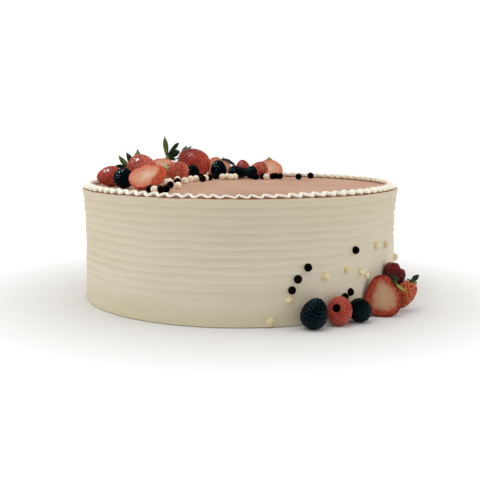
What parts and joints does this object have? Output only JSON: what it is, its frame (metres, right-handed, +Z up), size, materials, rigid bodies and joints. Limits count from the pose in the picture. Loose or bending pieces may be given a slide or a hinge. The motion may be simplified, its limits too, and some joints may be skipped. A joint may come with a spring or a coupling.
{
  "type": "berry cake",
  "caption": "Round uncut cake with combed cream icing, a chocolate glaze, a piped rope round the rim, berries, cut strawberries and crunchy pearls.",
  "frame": {"origin": "centre of the cake's underside, on the surface that it stands on", "axes": "+Z up along the cake's axis, -Y towards the front of the cake, +X towards the side with the berries at its foot"},
  "size_m": [0.2627, 0.2677, 0.1291],
  "materials": {
    "icing": "soft whipped cream icing, drawn with a comb",
    "glaze": "thin milk-chocolate glaze, satin",
    "piping": "piped buttercream, soft",
    "strawberry": "strawberry, moist",
    "raspberry": "raspberry, soft sheen",
    "bramble": "bramble, glossy near-black",
    "leaf": "green leaves"
  },
  "bodies": {
    "root": {"cake_body": "icing", "glaze": "glaze", "piped_rope": "piping", "raspberry_1": "raspberry", "raspberry_2": "raspberry", "raspberry_3": "raspberry", "raspberry_4": "raspberry", "raspberry_5": "raspberry", "raspberry_6": "raspberry", "bramble_1": "bramble", "bramble_2": "bramble", "bramble_3": "bramble", "bramble_4": "bramble", "bramble_5": "bramble", "bramble_6": "bramble", "bramble_7": "bramble", "bramble_8": "bramble", "bramble_9": "bramble", "bramble_10": "bramble", "strawberry_1": "strawberry", "strawberry_2": "strawberry", "strawberry_3": "strawberry", "strawberry_4": "strawberry", "strawberry_5": "strawberry", "strawberry_6": "strawberry", "half_1": "strawberry", "half_2": "strawberry", "half_3": "strawberry", "half_4": "strawberry", "half_5": "strawberry", "strawberry_1_calyx": "leaf", "strawberry_3_calyx": "leaf", "strawberry_5_calyx": "leaf", "half_1_calyx": "leaf", "half_2_calyx": "leaf", "half_3_calyx": "leaf", "half_4_calyx": "leaf", "half_5_calyx": "leaf"}
  },
  "joints": []
}
